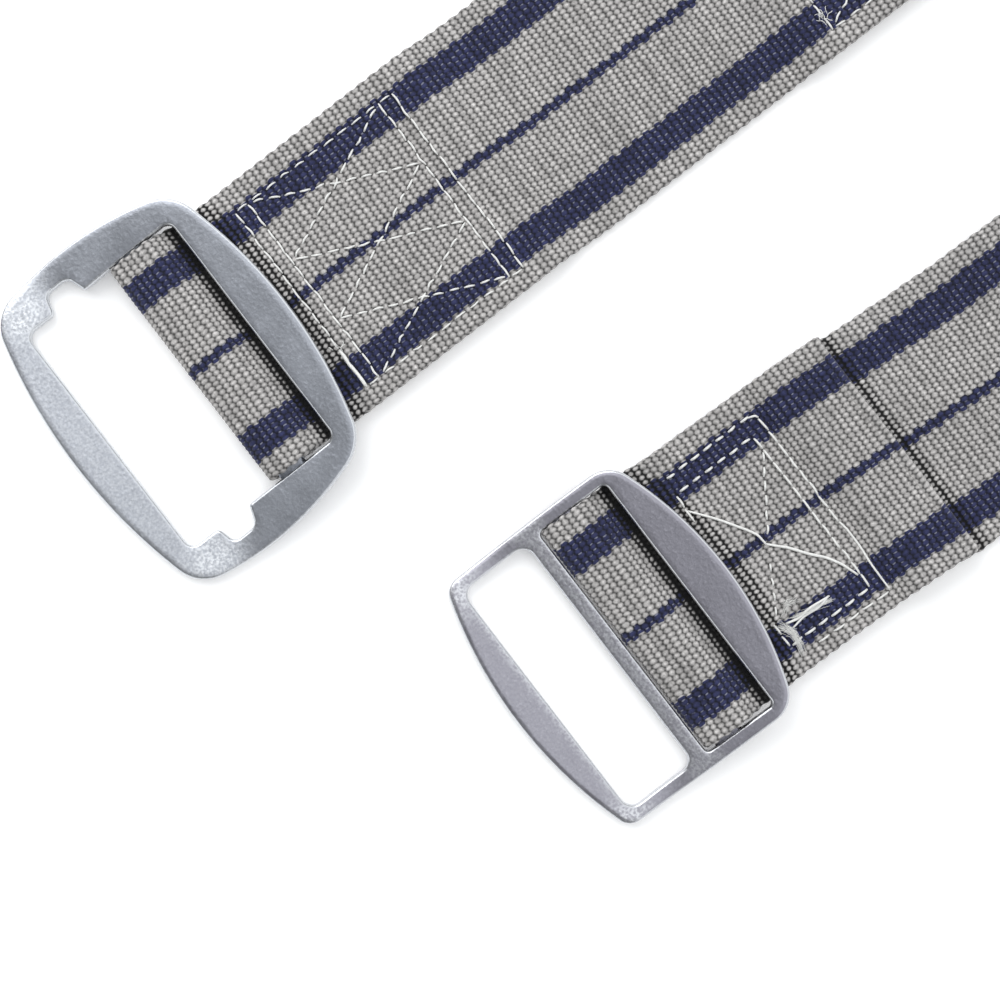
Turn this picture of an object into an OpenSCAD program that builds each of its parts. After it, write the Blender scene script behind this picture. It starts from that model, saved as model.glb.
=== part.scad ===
// Gait belt with a pass-through buckle: a long length of 50 mm webbing with a stamped frame
// sewn to one end and a stamped plate sewn to the other. X runs along the two ends of the
// belt, away from the buckles, Y runs across them and Z is up. All sizes are in millimetres.

/* [Webbing] */
// Width of the webbing
web_w = 50; // [48:0.5:50]
// Thickness of one layer of webbing
web_t = 1.8; // [1.4:0.1:1.8]
// Length of the belt from one buckle's end to the other's
belt_len = 1372; // [1300:1:1500]
// Distance between the centre lines of the two ends, as they lie
end_gap = 89.4; // [80:0.1:110]
// Height from one folded layer to the next
layer_pitch = 2.2; // [2.1:0.1:2.6]

/* [Frame at the receiving end] */
// Length of the frame along the belt
frame_len = 50.8; // [49:0.1:54]
// Width of the frame across the belt
frame_w = 68; // [66:0.5:74]
// Width of the frame's opening
frame_open_w = 51; // [50.8:0.1:52]
// Width of the end bar at its middle
frame_end_bar = 7.8; // [6:0.1:9]
// Width of the bar over the webbing at its middle
frame_near_bar = 8.3; // [6:0.1:9]
// Length of each notch at its mouth
notch_len = 7.4; // [6:0.1:8]
// Depth of each notch into its side arm
notch_depth = 3.9; // [3:0.1:4.2]
// Distance from the end bar to each notch
notch_from_bar = 6.6; // [5:0.1:8]

/* [Plate at the passing end] */
// Length of the plate along the belt
plate_len = 49.1; // [48:0.1:52]
// Width of the plate across the belt
plate_w = 57.8; // [56:0.1:58.8]
// Width of the plate's openings
plate_open_w = 52; // [51:0.1:53]
// Width of the end bar at its middle
plate_end_bar = 6.8; // [5:0.1:7]
// Width of the crescent bar at its middle
plate_crescent = 8.6; // [7:0.1:10]

/* [Metal] */
// Thickness of the stamped metal
metal_t = 2.5; // [2:0.1:2.5]
// Thickness of the bars that the webbing wraps
bar_t = 2.0; // [1.6:0.1:2]
// Width of the bars that the webbing wraps
bar_w = 6.0; // [5:0.1:6]

/* [Sewing] */
// Width of a row of thread
thread_w = 0.6; // [0.4:0.1:0.8]
// Height of a row of thread above the webbing
thread_h = 0.3; // [0.2:0.05:0.4]

/* [Hidden] */

metal = [0.62, 0.65, 0.68];
grey = [0.64, 0.63, 0.60];
navy = [0.19, 0.21, 0.38];
thread = [0.92, 0.92, 0.90];

half_web = web_w / 2;
low = web_t / 2;         // middle of a layer that lies on the surface
high = 1.5 * web_t;      // middle of a layer on top of it
female_y = end_gap / 2;
male_y = -end_gap / 2;
bend_r = 14;             // radius of the set in each plate
clear = 0.15;            // room between the metal and the webbing around it

// Places along the female end, from the middle of the belt's visible length
frame_x0 = -94.8;
frame_x1 = frame_x0 + frame_len;
frame_open_x0 = frame_x0 + frame_end_bar;
frame_open_x1 = frame_x1 - frame_near_bar;
notch_x = frame_open_x0 + notch_from_bar;
frame_set_x = -80;
frame_bar_x1 = frame_open_x1 - 6.9;
frame_bar_x0 = frame_bar_x1 - bar_w;
female_hinge_x = frame_x1 + 1.4;
tail_end_x = -1;
lap_x0 = 66;
tab_end_x = 103;

// Places along the male end
plate_x0 = -58;
plate_x1 = plate_x0 + plate_len;
plate_open_x0 = plate_x0 + plate_end_bar;
plate_open_x1 = -36.2;
plate_mid_bar_x1 = -32.9;
plate_near_x0 = plate_x1 - plate_crescent;
plate_bar_x1 = plate_near_x0 - 7.3;
plate_bar_x0 = plate_bar_x1 - bar_w;
plate_set_x = -44;
male_hinge_x = plate_x1 + 0.5;
flap_step_x = 14;
flap_end_x = 31.5;

// Outlines of the two buckles: see bowed()
bow_chord = 52;
frame_bow = [3.2, 3.8];
frame_sides = [66, 21.5];
frame_round = [8, 9];
plate_bow = [4, 4.8];
plate_sides = [780, 25];
plate_round = [3.5, 6.2];
window_round = 2.5;      // corners of the plate's window
slit_round = 1;          // corners of the opening that the webbing fills

// The webbing passes under the near bar of each buckle in two layers, with room to spare
near_room = 1;
frame_slope = atan((2 * web_t + near_room) / (frame_open_x1 - frame_set_x));
plate_slope = atan((2 * web_t + near_room) / (plate_near_x0 - plate_set_x));

// The rest of the belt is folded to and fro across both ends, in six runs
runs = 6;
fold_x = 135;            // where each end turns through a right angle
turn_r = layer_pitch / 2;
slope_x0 = 77;           // the male end rises from here to the top of the folded runs
slope_x1 = fold_x - half_web - 1;
ends_len = (fold_x - frame_x0) + (fold_x - plate_x0);
half_run = (belt_len - ends_len) / (runs - 1) / 2 - turn_r - web_t / 2;
fold_margin = 4;         // a run is flat this far before its slanting fold
lift_y0 = female_y - half_web - fold_margin - 13;
lift_y1 = female_y - half_web - fold_margin;

// The origin is under the middle of the whole belt
centre_x = (frame_x0 + fold_x + half_web) / 2;
arc_steps = 8;

// --- points and outlines ---------------------------------------------------------------

function clamp(u) = min(max(u, 0), 1);
function ease(u) = (1 - cos(180 * clamp(u))) / 2;
function arc(c, r, a0, a1, n = arc_steps) =
    [for (i = [0:n]) let (a = a0 + (a1 - a0) * i / n) c + r * [cos(a), sin(a)]];
function ramp(p, q, n = 6) =
    [for (i = [0:n]) [p.x + (q.x - p.x) * i / n, p.y + (q.y - p.y) * ease(i / n)]];
function unit(v) = v / norm(v);
function side(v) = [-v.y, v.x];
// Mitred offset of the path p at its point i
function shifted(p, i, d) =
    let (last = len(p) - 1,
        u = unit(p[min(i + 1, last)] - p[min(i, last - 1)]),
        w = unit(p[max(i, 1)] - p[max(i, 1) - 1]),
        m = unit(side(u) + side(w)))
    p[i] + d * m / (m * side(w));
// A strip of thickness t seen edge on, along the path p
function strip(p, t) = concat(
    [for (i = [0:len(p) - 1]) shifted(p, i, t / 2)],
    [for (i = [len(p) - 1:-1:0]) shifted(p, i, -t / 2)]);

function angle_to(c, p) = atan2(p.y - c.y, p.x - c.x);
function bow_r(chord, sag) = (chord * chord / 4 + sag * sag) / (2 * sag);
// Outline of a buckle from x0 to x1 whose four sides all bow outwards. bow is the sag of each
// end over bow_chord, sides the radius of the long sides and how far from x0 they are widest,
// and round the radii of the corners at each end
function bowed(x0, x1, w, bow, sides, round) =
    let (ra = bow_r(bow_chord, bow[0]), rb = bow_r(bow_chord, bow[1]),
        rs = sides[0], side_x = sides[1], r0 = round[0], r1 = round[1],
        ca = [x0 + ra, 0], cb = [x1 - rb, 0], cs = [x0 + side_x, w / 2 - rs],
        qb = corner(cb, rb, cs, rs, r1, 1), qa = corner(ca, ra, cs, rs, r0, -1),
        half = concat(
            arc(cb, rb, 0, angle_to(cb, qb)),
            arc(qb, r1, angle_to(cb, qb), angle_to(cs, qb)),
            arc(cs, rs, angle_to(cs, qb), angle_to(cs, qa)),
            arc(qa, r0, angle_to(cs, qa), angle_to(ca, qa)),
            arc(ca, ra, angle_to(ca, qa), 180)))
    concat(half, [for (i = [len(half) - 2:-1:1]) [half[i].x, -half[i].y]]);
// Centre of the round corner between an end's circle and the upper side's circle
function corner(ce, re, cs, rs, r, way) =
    let (d = norm(cs - ce), a = (d * d + pow(re - r, 2) - pow(rs - r, 2)) / (2 * d),
        h = sqrt(pow(re - r, 2) - a * a), u = (cs - ce) / d,
        q1 = ce + a * u + h * side(u), q2 = ce + a * u - h * side(u))
    way * q1.x > way * q2.x ? q1 : q2;

// Arc of radius r that rounds the corner at p, between the lines to a and to b
function rounded_corner(a, p, b, r) =
    let (u = unit(a - p), v = unit(b - p), half = acos(u * v) / 2,
        c = p + unit(u + v) * r / sin(half),
        start = angle_to(c, p + u * r / tan(half)), turn = angle_to(c, p + v * r / tan(half)))
    arc(c, r, start, start + (turn - start + 540) % 360 - 180, 6);
// Closed outline through corners given as [x, y, radius]
function rounded(list) = [for (i = [0:len(list) - 1],
    q = rounded_corner(xy(list[(i + len(list) - 1) % len(list)]), xy(list[i]),
        xy(list[(i + 1) % len(list)]), list[i].z)) q];
function xy(v) = [v.x, v.y];

// --- building blocks -------------------------------------------------------------------

module across(y, w) {
    // Turns a side view in X and Z into a solid of width w, centred at y
    translate([0, y, 0]) rotate([90, 0, 0]) linear_extrude(w, center = true) children();
}

module placed() {
    translate([-centre_x, 0, 0]) children();
}

module bent_metal(x0, set_x, slope, t, w) {
    // Metal of thickness t that lies flat up to set_x and then rises
    path = concat([[x0 - 1, metal_t / 2]],
        arc([set_x, metal_t / 2 + bend_r], bend_r, 270, 270 + slope, 4),
        [[set_x + bend_r * sin(slope) + 50 * cos(slope),
            metal_t / 2 + bend_r * (1 - cos(slope)) + 50 * sin(slope)]]);
    across(0, w) polygon(strip(path, t));
}

module webbing(path, y) {
    across(y, web_w) polygon(strip(path, web_t));
}

module upright(outline) {
    // A solid or a cutter that is taller than any of the metal
    translate([0, 0, -5]) linear_extrude(30) polygon(outline);
}

// Outline of an opening from x0 to x1
function opening(x0, x1, w, r) = rounded([[x0, -w / 2, r], [x1, -w / 2, r],
    [x1, w / 2, r], [x0, w / 2, r]]);

// --- the two buckles -------------------------------------------------------------------

// The frame's opening: each notch has a steep far side, a slanted near side and a sharp
// tooth at its near edge
function notched_opening() =
    let (h = frame_open_w / 2, d = h + notch_depth, x1 = notch_x + notch_len,
        upper = [[frame_open_x1, h, 1.8], [x1, h, 0.7], [x1 - 1.4, d, 1.8],
            [notch_x + 0.9, d, 1.8], [notch_x, h, 1.2], [frame_open_x0, h, 2]])
    rounded(concat([for (i = [len(upper) - 1:-1:0]) [upper[i].x, -upper[i].y, upper[i].z]],
        upper));

module female_frame() {
    color(metal) placed() translate([0, female_y, 0]) {
        difference() {
            intersection() {
                bent_metal(frame_x0, frame_set_x, frame_slope, metal_t, frame_w + 2);
                upright(bowed(frame_x0, frame_x1, frame_w, frame_bow, frame_sides, frame_round));
            }
            upright(notched_opening());
        }
        wrapped_bar(frame_bar_x0, frame_set_x, frame_slope, frame_open_w);
    }
}

module male_plate() {
    color(metal) placed() translate([0, male_y, 0]) {
        difference() {
            intersection() {
                bent_metal(plate_x0, plate_set_x, plate_slope, metal_t, plate_w + 2);
                upright(bowed(plate_x0, plate_x1, plate_w, plate_bow, plate_sides, plate_round));
            }
            upright(opening(plate_open_x0, plate_open_x1, plate_open_w, window_round));
            upright(opening(plate_mid_bar_x1, plate_near_x0, plate_open_w, slit_round));
        }
        wrapped_bar(plate_bar_x0, plate_set_x, plate_slope, plate_open_w);
    }
}

// Centre height of a wrapped bar's section at x
function bar_z(x, set_x, slope) = (x - set_x) * tan(slope) + bar_t / 2;

module wrapped_bar(x0, set_x, slope, w) {
    // The bar inside the webbing's fold runs into the side arms at both ends
    z = bar_z(x0 + bar_t / 2, set_x, slope);
    translate([x0 + bar_t / 2, 0, z]) rotate([0, -slope, 0]) {
        rotate([90, 0, 0]) cylinder(h = w + 1, d = bar_t, center = true, $fn = 48);
        translate([0, -w / 2 - 0.5, -bar_t / 2]) cube([bar_w - bar_t, w + 1, bar_t]);
        translate([bar_w - bar_t, 0, 0]) rotate([90, 0, 0])
            cylinder(h = w + 1, d = bar_t, center = true, $fn = 48);
    }
}

// --- webbing around the bars -----------------------------------------------------------

wrap_r = bar_t / 2 + clear + web_t / 2;

// Middle of a wrapped bar's round edge, in side view
function wrap_centre(bar_x0, set_x, slope) =
    let (x = bar_x0 + bar_t / 2)
    [x, max(bar_z(x, set_x, slope), wrap_r + web_t / 2)];
// Side view of the fold's upper layer: round the bar, over it and down under the near bar
function over_path(c, slope, near_x, hinge_x) = concat(
    arc(c, wrap_r, 270, 90 + slope, 12),
    ramp(c + rotated([bar_w - bar_t / 2, wrap_r], slope), [near_x - 0.3, high], 8),
    [[hinge_x, high]]);
function rotated(v, a) = [v.x * cos(a) - v.y * sin(a), v.x * sin(a) + v.y * cos(a)];

module loop(bar_x0, near_x, hinge_x, set_x, slope, y) {
    c = wrap_centre(bar_x0, set_x, slope);
    color(grey) placed() {
        webbing([[c.x, c.y - wrap_r], [c.x + 3, low], [hinge_x, low]], y);
        webbing(over_path(c, slope, near_x, hinge_x), y);
    }
}

module female_webbing_loop() {
    loop(frame_bar_x0, frame_open_x1, female_hinge_x, frame_set_x, frame_slope, female_y);
}

module male_webbing_loop() {
    loop(plate_bar_x0, plate_near_x0, male_hinge_x, plate_set_x, plate_slope, male_y);
}

// --- webbing that lies still -----------------------------------------------------------

module buckle_tab_webbing() {
    color(grey) placed() {
        webbing(concat([[female_hinge_x, high]], ramp([tail_end_x, high], [9, low]),
            ramp([56, low], [lap_x0 - 1, high]), [[tab_end_x, high]]), female_y);
        webbing([[female_hinge_x, low], [tail_end_x, low]], female_y);
    }
}

module belt_female_leg() {
    color(navy) placed() leg_end(female_y, 0, lap_x0);
}

module leg_end(y, z, x0) {
    // The flat end of a leg, up to the slanting fold that turns it
    translate([0, 0, z]) linear_extrude(web_t) polygon([[x0, y - half_web],
        [fold_edge + half_web, y - half_web], [fold_edge - half_web, y + half_web],
        [x0, y + half_web]]);
}

fold_edge = fold_x - turn_r * PI / 2 * sqrt(2);

module slanting_fold(y, z) {
    // Half a tube along the slanting line where the webbing turns over on itself
    intersection() {
        translate([fold_edge, y, z + web_t / 2 + turn_r]) rotate([0, 0, -45])
            rotate([0, 90, 0]) linear_extrude(2 * web_w, center = true)
                polygon(strip(arc([0, 0], turn_r, 0, 180, 12), web_t));
        translate([fold_x - half_web - fold_margin, y - half_web - fold_margin, z])
            cube([web_w + fold_margin, web_w + fold_margin, 10]);
    }
}

module run_end(y, z) {
    // The flat end of a run, up to the same slanting line
    x0 = fold_x - half_web;
    x1 = fold_x + half_web;
    y0 = y - half_web - fold_margin;
    translate([0, 0, z]) linear_extrude(web_t) polygon([[x0, y0], [x1, y0],
        [x1, y + fold_edge - x1], [x0, y + fold_edge - x0]]);
}

// Middle height of run k at y: the runs step up over the female leg
function run_z(k, y) = low + (k - 1) * layer_pitch
    + layer_pitch * ease((y - lift_y0) / (lift_y1 - lift_y0));
function run_points(k) =
    let (ys = concat([-half_run],
            [for (i = [0:6]) lift_y0 + (lift_y1 - lift_y0) * i / 6],
            [k == 1 ? lift_y1 + 0.5 : half_run]),
        ordered = k % 2 == 1 ? [for (i = [len(ys) - 1:-1:0]) ys[i]] : ys)
    [for (y = ordered) [y, run_z(k, y)]];
function turn_points(k) =
    let (y = k % 2 == 1 ? -half_run : half_run, a = k % 2 == 1 ? 250 : -70,
        b = k % 2 == 1 ? 110 : 70)
    arc([y, run_z(k, y) + turn_r], turn_r, a, b, 6);
last_run = [[-half_run, run_z(runs, -half_run)],
    [male_y - half_web - fold_margin + 0.5, run_z(runs, -half_run)]];
folded_path = concat([for (k = [1:runs - 1], p = concat(run_points(k), turn_points(k))) p],
    last_run);

module belt_folded_length() {
    color(navy) placed() {
        translate([fold_x, 0, 0]) rotate([90, 0, 90]) linear_extrude(web_w, center = true)
            polygon(strip(folded_path, web_t));
        run_end(female_y, layer_pitch);
        run_end(male_y, (runs - 1) * layer_pitch);
        slanting_fold(female_y, 0);
        slanting_fold(male_y, (runs - 1) * layer_pitch);
    }
}

module belt_male_leg() {
    top = runs * layer_pitch;
    color(navy) placed() {
        webbing(concat([[male_hinge_x, low]], ramp([slope_x0, low], [slope_x1, top + low]),
            [[slope_x1 + 1, top + low]]), male_y);
        leg_end(male_y, top, slope_x1 + 0.5);
    }
}

module belt_male_flap() {
    // Turned-back end of the webbing, with its raw edge folded under
    under = high + web_t + 0.2;
    r = (under - high) / 2;
    color(grey) placed() webbing(concat([[male_hinge_x, high]],
        ramp([flap_step_x, high], [flap_step_x + 5, under]),
        arc([flap_end_x - r - web_t / 2, high + r], r, 90, -90, 10),
        [[flap_step_x + 5.5, high]]), male_y);
}

// --- sewing ----------------------------------------------------------------------------

module row(a, b) {
    // One row of thread from a to b
    translate([a.x, a.y, 0]) rotate([0, 0, angle_to(a, b)])
        translate([0, -thread_w / 2, 0]) cube([norm(b - a), thread_w, thread_h]);
}

module rows(list, y) {
    color(thread) placed() translate([0, y, 2 * web_t])
        for (r = list) row([r[0], r[1]], [r[2], r[3]]);
}

box_half = 20.7;         // half the width of the sewn boxes
inset = 0.5;             // a zigzag stops this far inside its box

// Rows across a box at each of the places xs, and along it from the first to the last
function box_rows(xs) = concat([for (x = xs) [x, -box_half, x, box_half]],
    [for (y = [-box_half, box_half]) [xs[0], y, xs[len(xs) - 1], y]]);
// Two zigzags that cross each other three times between x0 and x1
function zigzag_rows(x0, x1) = [for (i = [0:2], way = [0, 1])
    let (y0 = -box_half + inset + i * 2 * (box_half - inset) / 3,
        y1 = y0 + 2 * (box_half - inset) / 3)
    way == 0 ? [x0, y0, x1, y1] : [x0, y1, x1, y0]];

module female_box_seams() { rows(box_rows([-41.5, -38.6, -7.6, -4.5]), female_y); }
module female_zigzag_seams() { rows(zigzag_rows(-38, -8.2), female_y); }
module lap_box_seams() { rows(box_rows([69, 97.2, 100]), female_y); }
module lap_zigzag_seams() { rows(zigzag_rows(69.6, 96.6), female_y); }

// The male box is sewn a little towards -Y, as two boxes that share their left side
male_box_x0 = -7.8;
male_box_x1 = 10.3;
male_box_x2 = 13.2;
male_rows = [20, 16.6, -19.2, -21.6];

module male_box_seams() {
    rows([[male_box_x0, male_rows[0], male_box_x2, male_rows[0]],
        [male_box_x0, male_rows[1], male_box_x1, male_rows[1]],
        [male_box_x0, male_rows[2], male_box_x1, male_rows[2]],
        [male_box_x0, male_rows[3], male_box_x2, male_rows[3]],
        [male_box_x0, male_rows[2], male_box_x0, male_rows[1]],
        [male_box_x1, male_rows[2], male_box_x1, male_rows[1]],
        [male_box_x2, male_rows[3], male_box_x2, male_rows[0]]], male_y);
}

module male_cross_seam() {
    rows([[-7.2, -13.2, 9.5, 12.4], [-7.2, 12.4, 9.5, -15.4]], male_y);
}

female_frame();
male_plate();
female_webbing_loop();
male_webbing_loop();
buckle_tab_webbing();
belt_female_leg();
belt_folded_length();
belt_male_leg();
belt_male_flap();
female_box_seams();
female_zigzag_seams();
lap_box_seams();
lap_zigzag_seams();
male_box_seams();
male_cross_seam();
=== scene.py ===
"""Looks of a gait belt: striped woven webbing, two stamped buckles and white sewing thread.

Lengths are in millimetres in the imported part's frame and become metres when a mesh is made. Most of them
come from the boxes of the CAD nodes. X runs along the two ends of the belt, away from the buckles.
"""

import math

import bmesh
import bpy
import numpy as np
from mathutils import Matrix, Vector


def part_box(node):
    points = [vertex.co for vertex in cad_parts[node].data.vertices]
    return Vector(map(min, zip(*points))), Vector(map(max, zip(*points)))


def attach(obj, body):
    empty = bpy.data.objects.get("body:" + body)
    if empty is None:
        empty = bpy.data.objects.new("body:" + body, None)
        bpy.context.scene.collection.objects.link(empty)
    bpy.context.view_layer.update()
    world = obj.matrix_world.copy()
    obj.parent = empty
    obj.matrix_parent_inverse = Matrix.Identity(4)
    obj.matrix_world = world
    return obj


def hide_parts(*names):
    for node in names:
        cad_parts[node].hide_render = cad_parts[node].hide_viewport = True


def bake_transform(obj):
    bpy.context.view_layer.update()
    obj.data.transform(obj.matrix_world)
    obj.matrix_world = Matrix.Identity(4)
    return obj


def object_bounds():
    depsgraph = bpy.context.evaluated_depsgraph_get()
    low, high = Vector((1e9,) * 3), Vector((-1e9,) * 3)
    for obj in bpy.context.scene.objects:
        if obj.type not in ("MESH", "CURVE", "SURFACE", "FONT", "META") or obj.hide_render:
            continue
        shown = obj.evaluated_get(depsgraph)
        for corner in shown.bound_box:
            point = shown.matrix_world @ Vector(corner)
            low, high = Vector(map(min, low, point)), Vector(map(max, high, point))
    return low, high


MM = 0.001
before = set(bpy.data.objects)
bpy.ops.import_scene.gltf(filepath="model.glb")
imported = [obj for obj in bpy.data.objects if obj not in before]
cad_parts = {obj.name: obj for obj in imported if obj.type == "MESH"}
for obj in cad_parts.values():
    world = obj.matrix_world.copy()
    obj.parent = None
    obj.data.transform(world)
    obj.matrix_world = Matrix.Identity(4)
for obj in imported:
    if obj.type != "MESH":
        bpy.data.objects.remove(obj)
cad_low, cad_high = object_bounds()
random = np.random.default_rng(54)


# --- sizes taken from the frame ----------------------------------------------------------


def box_mm(node):
    """Lowest and highest corner of a CAD node, in millimetres."""
    low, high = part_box(node)
    return np.array(low) / MM, np.array(high) / MM


frame_low, frame_high = box_mm("female_frame")
plate_low, plate_high = box_mm("male_plate")
tab_low, tab_high = box_mm("buckle_tab_webbing")
leg_low, leg_high = box_mm("belt_female_leg")
folded_high = box_mm("belt_folded_length")[1]
male_leg_low = box_mm("belt_male_leg")[0]
flap_high = box_mm("belt_male_flap")[1]

female_y = (frame_low[1] + frame_high[1]) / 2
male_y = (plate_low[1] + plate_high[1]) / 2
web_w = leg_high[1] - leg_low[1]
web_t = leg_high[2] - leg_low[2]
half_web = web_w / 2
low = web_t / 2  # middle of a layer that lies on the surface
high = 1.5 * web_t  # middle of a layer on top of it

metal_t = 2.5
bar_t = 2.0
bar_w = 6.0
bend_r = 14.0
wrap_gap = 0.15  # between a wrapped bar and the webbing round it
wrap_r = bar_t / 2 + wrap_gap + web_t / 2
near_room = 1.0  # between the webbing and the near bar above it
stub = 40.0  # how far each path goes on past the middle of its slanting fold

# The frame's end
frame_end_bar = 7.8
frame_near_bar = 8.3
frame_bar_gap = 6.9  # from the wrapped bar to the near bar
notch_from_bar = 6.6
notch_len = 7.4
notch_depth = 3.9
frame_set = 14.8  # from the end of the frame to the line that it is bent at
tail_len = 41.6
frame_x0, frame_x1 = frame_low[0], frame_high[0]
frame_w = frame_high[1] - frame_low[1]
frame_open_x0 = frame_x0 + frame_end_bar
frame_open_x1 = frame_x1 - frame_near_bar
frame_open_w = 51.0
notch_x = frame_open_x0 + notch_from_bar
frame_set_x = frame_x0 + frame_set
frame_bar_x0 = frame_open_x1 - frame_bar_gap - bar_w
frame_slope = math.atan((2 * web_t + near_room) / (frame_open_x1 - frame_set_x))
female_hinge_x = tab_low[0]
tail_end_x = female_hinge_x + tail_len
lap_x0 = leg_low[0]
tab_end_x = tab_high[0]

# The plate's end
plate_end_bar = 6.8
plate_window_end = 21.8  # from the end of the plate to the far side of its window
plate_mid_bar = 3.3
plate_crescent = 8.6
plate_bar_gap = 7.3  # from the wrapped bar to the crescent bar
plate_set = 14.0  # from the end of the plate to the line that it is bent at
flap_flat = 22.4  # from the hinge to where the flap rises over its folded end
plate_x0, plate_x1 = plate_low[0], plate_high[0]
plate_w = plate_high[1] - plate_low[1]
plate_open_x0 = plate_x0 + plate_end_bar
plate_open_x1 = plate_x0 + plate_window_end
plate_mid_x1 = plate_open_x1 + plate_mid_bar
plate_near_x0 = plate_x1 - plate_crescent
plate_open_w = 52.0
plate_set_x = plate_x0 + plate_set
plate_bar_x0 = plate_near_x0 - plate_bar_gap - bar_w
plate_slope = math.atan((2 * web_t + near_room) / (plate_near_x0 - plate_set_x))
male_hinge_x = male_leg_low[0]
flap_step_x = male_hinge_x + flap_flat
flap_end_x = flap_high[0]

# The folded length between them
runs = 6
layer_pitch = 2.2
slope_len = 32  # of the male leg's way down from the top of the fold
turn_r = layer_pitch / 2
fold_x = folded_high[0] - half_web
half_run = folded_high[1] - turn_r - web_t / 2
lift_y0 = female_y - half_web - 17  # the runs step up over the female leg from here
lift_y1 = female_y - half_web - 4  # to here
slope_x1 = fold_x - half_web - 1
slope_x0 = slope_x1 - slope_len


# --- curves ------------------------------------------------------------------------------


def smooth(u):
    """Eases from 0 to 1 as u goes from 0 to 1."""
    u = np.clip(u, 0, 1)
    return (1 - np.cos(np.pi * u)) / 2


def arc(centre, radius, start, end, steps=16):
    """Points on an arc between two angles in degrees."""
    angles = np.radians(np.linspace(start, end, steps + 1))
    return np.array(centre) + radius * np.stack([np.cos(angles), np.sin(angles)], 1)


def ramp(p, q, steps=16):
    """An eased change of height from p to q."""
    u = np.linspace(0, 1, steps + 1)
    return np.stack([p[0] + (q[0] - p[0]) * u, p[1] + (q[1] - p[1]) * smooth(u)], 1)


def joined(*parts):
    """One line through all the parts' points, without repeats."""
    points = np.concatenate([np.atleast_2d(np.array(p, float)) for p in parts])
    keep = np.r_[True, np.linalg.norm(np.diff(points, axis=0), axis=1) > 1e-6]
    return points[keep]


class Path:
    """A side view of webbing: where its middle runs, by the distance along it."""

    step = 0.1

    def __init__(self, points):
        along = np.r_[0, np.cumsum(np.linalg.norm(np.diff(points, axis=0), axis=1))]
        self.s = np.linspace(0, along[-1], max(int(along[-1] / self.step), 8))
        line = np.stack([np.interp(self.s, along, points[:, i]) for i in (0, 1)], 1)
        for _ in range(6):
            line[1:-1] = (line[:-2] + 2 * line[1:-1] + line[2:]) / 4
        self.p = line
        t = np.gradient(line, axis=0)
        t /= np.linalg.norm(t, axis=1)[:, None]
        self.n = np.stack([-t[:, 1], t[:, 0]], 1)
        self.length = self.s[-1]

    def at(self, s):
        """Points and unit normals at distances s."""
        pick = lambda values: np.stack([np.interp(s, self.s, v) for v in values.T], -1)
        n = pick(self.n)
        return pick(self.p), n / np.linalg.norm(n, axis=-1)[..., None]

    def s_at_x(self, x, after=0.0):
        """Distance at which the path first reaches x, beyond the distance after."""
        later = np.flatnonzero(self.s >= after)
        crossed = np.diff(np.sign(self.p[later, 0] - x)) != 0
        assert crossed.any(), f"the path doesn't reach x = {x}"
        return self.s[later[np.argmax(crossed)]]


def turned(slope):
    """The matrix that turns a side view up by the slope."""
    return np.array([[math.cos(slope), -math.sin(slope)], [math.sin(slope), math.cos(slope)]])


def wrap_centre(bar_x0, set_x, slope):
    """Centre of the webbing's turn round a bar, which keeps it off the surface beneath."""
    x = bar_x0 + bar_t / 2
    return np.array([x, max((x - set_x) * math.tan(slope) + bar_t / 2, wrap_r + low)])


def wrapped(bar_x0, near_x, set_x, slope):
    """Webbing that comes in low, goes round a bar and back over it, and runs under the near bar."""
    c = wrap_centre(bar_x0, set_x, slope)
    over = c + turned(slope) @ np.array([bar_w - bar_t / 2, wrap_r])
    return joined(
        [c[0] + 3, low],
        arc(c, wrap_r, 270, 90 + math.degrees(slope), 24),
        ramp(over, [near_x - 0.3, high]),
    )


# --- paths of the two lengths of webbing --------------------------------------------------

tab_path = Path(
    joined(
        [tail_end_x, low],
        wrapped(frame_bar_x0, frame_open_x1, frame_set_x, frame_slope),
        ramp([tail_end_x, high], [tail_end_x + 10, low]),
        ramp([lap_x0 - 10, low], [lap_x0 - 1, high]),
        [tab_end_x, high],
    )
)

under = high + web_t + 0.2  # middle of the flap's raised end
flap_r = (under - high) / 2
male_top = runs * layer_pitch + low
male_path = Path(
    joined(
        [fold_x + stub, male_top],
        ramp([slope_x1, male_top], [slope_x0, low], 40),
        wrapped(plate_bar_x0, plate_near_x0, plate_set_x, plate_slope),
        ramp([flap_step_x, high], [flap_step_x + 5, under]),
        arc([flap_end_x - flap_r - web_t / 2, high + flap_r], flap_r, 90, -90),
        [flap_step_x + 5.5, high],
    )
)

male_turn = male_path.s[np.argmin(male_path.p[:, 0])]  # where it turns back round the bar


def run_z(k, y):
    """Middle height of the folded run k, which steps up over the female leg."""
    return low + (k - 1) * layer_pitch + layer_pitch * smooth((y - lift_y0) / (lift_y1 - lift_y0))


def run_line(k):
    """The run k, in the order that the webbing goes along it. The first and the last end at a slanting fold."""
    far_y, count = {1: (female_y + stub, 140), runs: (male_y + stub, 90)}.get(k, (half_run, 120))
    y = np.linspace(-half_run, far_y, count)
    y = y[::-1] if k % 2 else y
    return np.stack([y, run_z(k, y)], 1)


def run_turn(k):
    """The turn from the run k up to the next one."""
    y = -half_run if k % 2 else half_run
    z = float(run_z(k, np.array(y))) + turn_r
    return arc([y, z], turn_r, 260, 100) if k % 2 else arc([y, z], turn_r, -80, 80)


run_parts = [part for k in range(1, runs) for part in (run_line(k), run_turn(k))]
run_path = Path(joined(*run_parts, run_line(runs)))
run_length = run_path.length - 2 * stub  # between the middles of the two slanting folds


# --- woven surfaces -----------------------------------------------------------------------

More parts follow.
